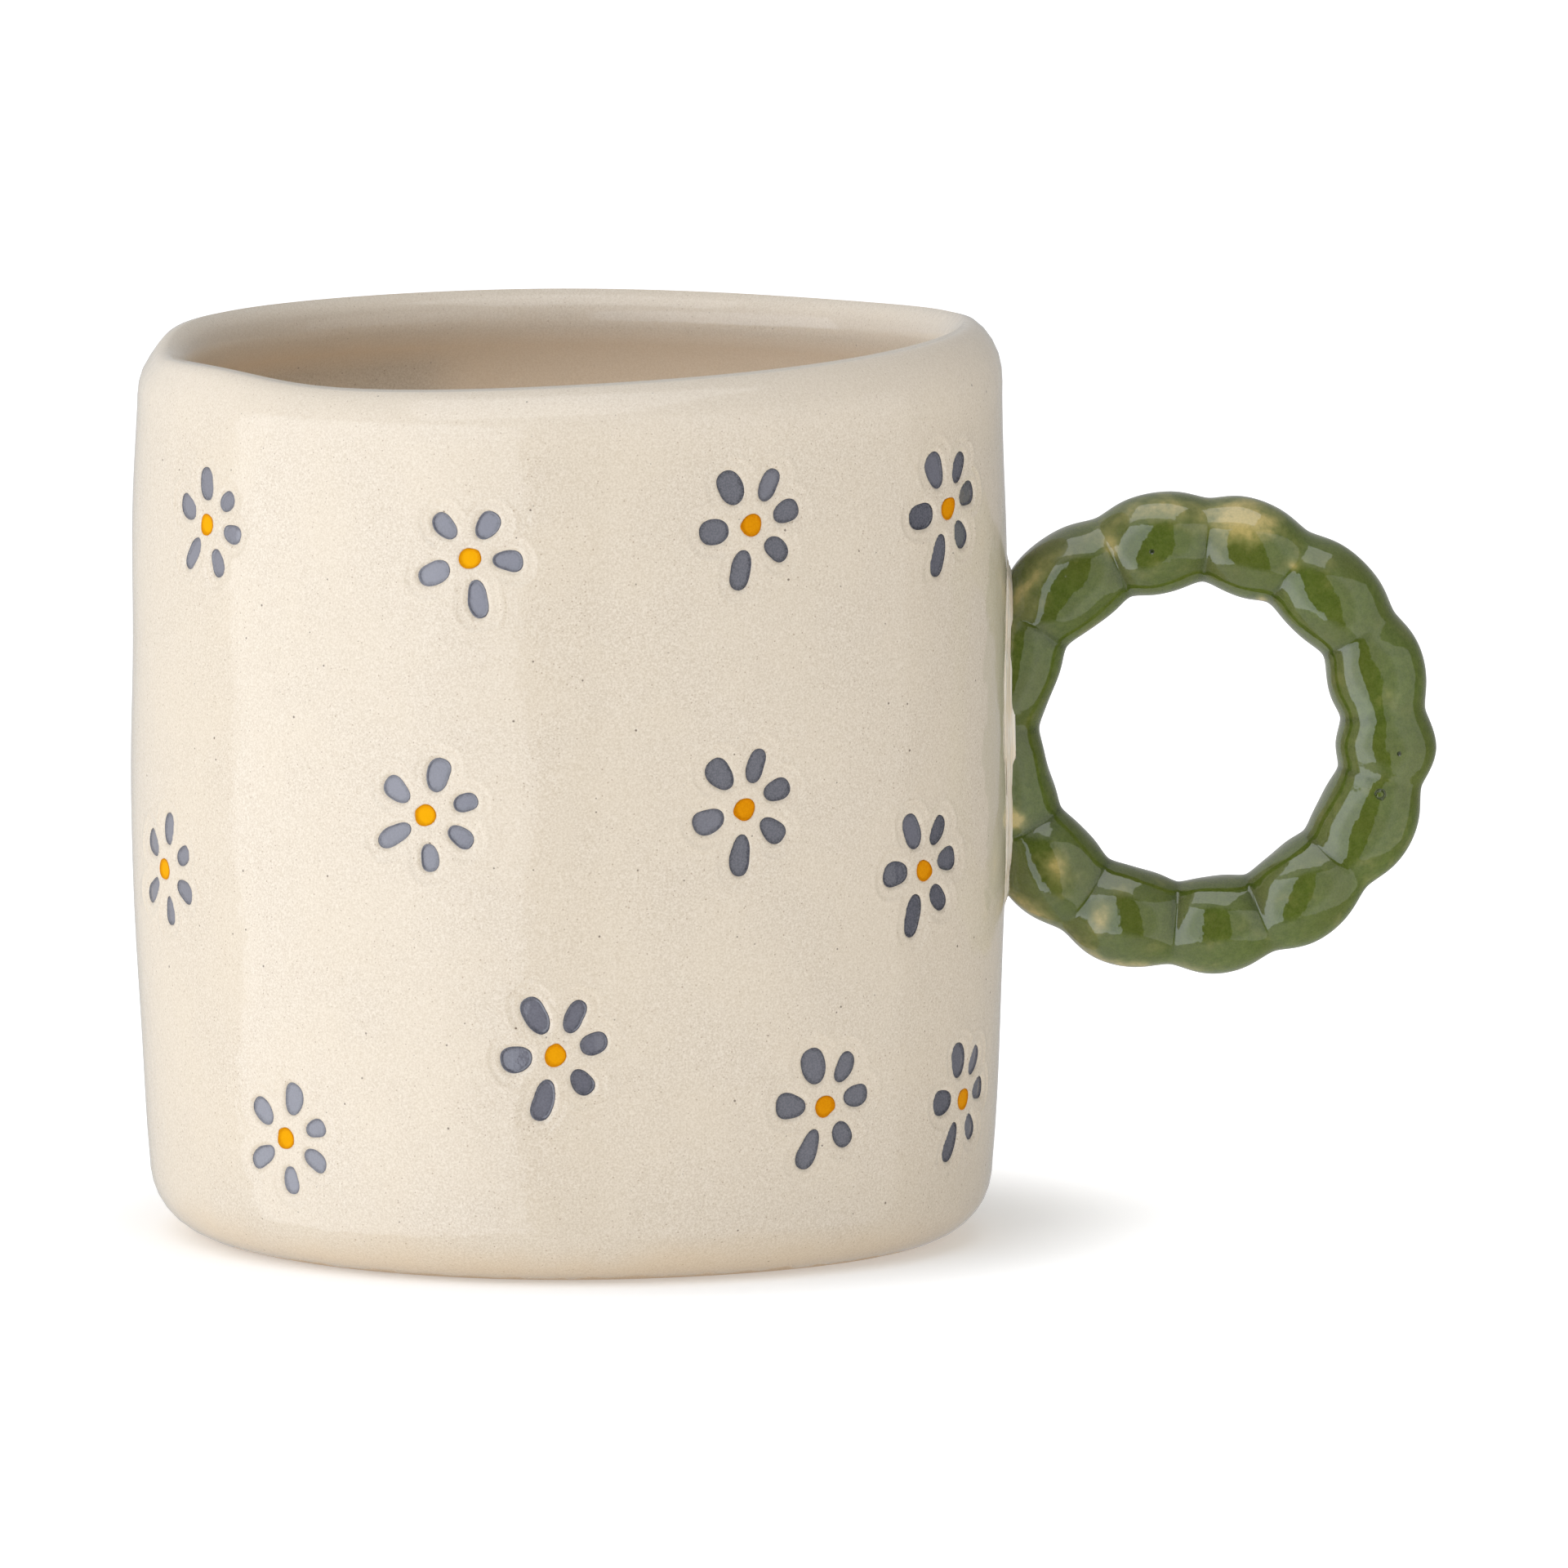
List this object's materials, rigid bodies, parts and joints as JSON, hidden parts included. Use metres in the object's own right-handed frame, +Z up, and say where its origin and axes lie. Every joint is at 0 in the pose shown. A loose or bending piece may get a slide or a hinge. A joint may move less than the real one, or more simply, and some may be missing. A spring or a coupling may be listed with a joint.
{
  "type": "stoneware mug",
  "caption": "Hand-made stoneware mug with a beaded ring handle luted to its wall and small flowers stamped and inlaid all round.",
  "frame": {"origin": "centre of the flat foot, on the surface the mug stands on", "axes": "+Z up along the mug's axis, +X from the axis through the middle of the ring handle, +Y away from the side shown in the picture"},
  "size_m": [0.1262, 0.0845, 0.0889],
  "materials": {
    "cream_glaze": "glossy clear glaze over cream stoneware with fine dark specks; bare matt clay under the foot",
    "green_glaze": "very glossy moss-green glaze, breaking to amber brown where it runs thin over the beads",
    "glazed_slip": "cream glaze over a combed pad of clay slip",
    "blue_grey_glaze": "blue-grey underglaze pooled in the stamped petals, under the clear glaze",
    "yellow_glaze": "ochre yellow underglaze under the clear glaze"
  },
  "bodies": {
    "root": {"mug_body": "cream_glaze", "ring_handle": "green_glaze", "handle_lute": "glazed_slip", "flower_01_petals": "blue_grey_glaze", "flower_01_centre": "yellow_glaze", "flower_02_petals": "blue_grey_glaze", "flower_02_centre": "yellow_glaze", "flower_03_petals": "blue_grey_glaze", "flower_03_centre": "yellow_glaze", "flower_04_petals": "blue_grey_glaze", "flower_04_centre": "yellow_glaze", "flower_05_petals": "blue_grey_glaze", "flower_05_centre": "yellow_glaze", "flower_06_petals": "blue_grey_glaze", "flower_06_centre": "yellow_glaze", "flower_07_petals": "blue_grey_glaze", "flower_07_centre": "yellow_glaze", "flower_08_petals": "blue_grey_glaze", "flower_08_centre": "yellow_glaze", "flower_09_petals": "blue_grey_glaze", "flower_09_centre": "yellow_glaze", "flower_10_petals": "blue_grey_glaze", "flower_10_centre": "yellow_glaze", "flower_11_petals": "blue_grey_glaze", "flower_11_centre": "yellow_glaze", "flower_12_petals": "blue_grey_glaze", "flower_12_centre": "yellow_glaze", "flower_13_petals": "blue_grey_glaze", "flower_13_centre": "yellow_glaze", "flower_14_petals": "blue_grey_glaze", "flower_14_centre": "yellow_glaze", "flower_15_petals": "blue_grey_glaze", "flower_15_centre": "yellow_glaze", "flower_16_petals": "blue_grey_glaze", "flower_16_centre": "yellow_glaze", "flower_17_petals": "blue_grey_glaze", "flower_17_centre": "yellow_glaze", "flower_18_petals": "blue_grey_glaze", "flower_18_centre": "yellow_glaze", "flower_19_petals": "blue_grey_glaze", "flower_19_centre": "yellow_glaze", "flower_20_petals": "blue_grey_glaze", "flower_20_centre": "yellow_glaze", "flower_21_petals": "blue_grey_glaze", "flower_21_centre": "yellow_glaze", "flower_22_petals": "blue_grey_glaze", "flower_22_centre": "yellow_glaze", "flower_23_petals": "blue_grey_glaze", "flower_23_centre": "yellow_glaze", "flower_24_petals": "blue_grey_glaze", "flower_24_centre": "yellow_glaze", "flower_25_petals": "blue_grey_glaze", "flower_25_centre": "yellow_glaze", "flower_26_petals": "blue_grey_glaze", "flower_26_centre": "yellow_glaze"}
  },
  "joints": []
}
